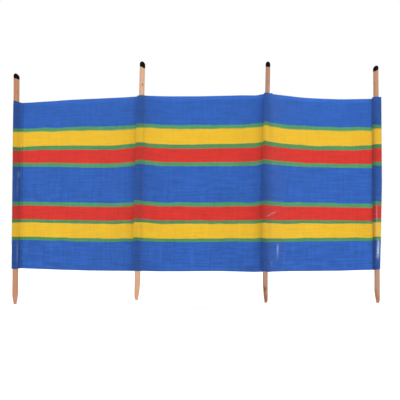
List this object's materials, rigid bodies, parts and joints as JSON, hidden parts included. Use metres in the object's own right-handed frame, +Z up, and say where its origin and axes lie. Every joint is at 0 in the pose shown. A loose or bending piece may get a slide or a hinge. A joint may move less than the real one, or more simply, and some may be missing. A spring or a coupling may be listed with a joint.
{
  "type": "beach windbreak",
  "caption": "Striped beach windbreak: a long cloth with a sewn pocket for each of its wooden poles, set out in bays that belly back in the wind.",
  "frame": {"origin": "middle of the flat foot of the left pole (pole 1)", "axes": "+X along the windbreak to the right, +Y behind it, where the cloth bellies out, +Z up"},
  "size_m": [1.9171, 0.2654, 1.2527],
  "materials": {
    "cloth": "plain-weave striped canvas",
    "pole_wood": "bare sanded softwood",
    "dipped_end": "black dipped paint, nearly matt"
  },
  "bodies": {
    "root": {"pole_1": "pole_wood", "pole_2": "pole_wood", "pole_3": "pole_wood", "pole_4": "pole_wood", "dipped_end_1": "dipped_end", "dipped_end_2": "dipped_end", "dipped_end_3": "dipped_end", "dipped_end_4": "dipped_end", "pocket_1": "cloth", "pocket_2": "cloth", "pocket_3": "cloth", "pocket_4": "cloth", "bay_1": "cloth", "bay_2": "cloth", "bay_3": "cloth"}
  },
  "joints": []
}
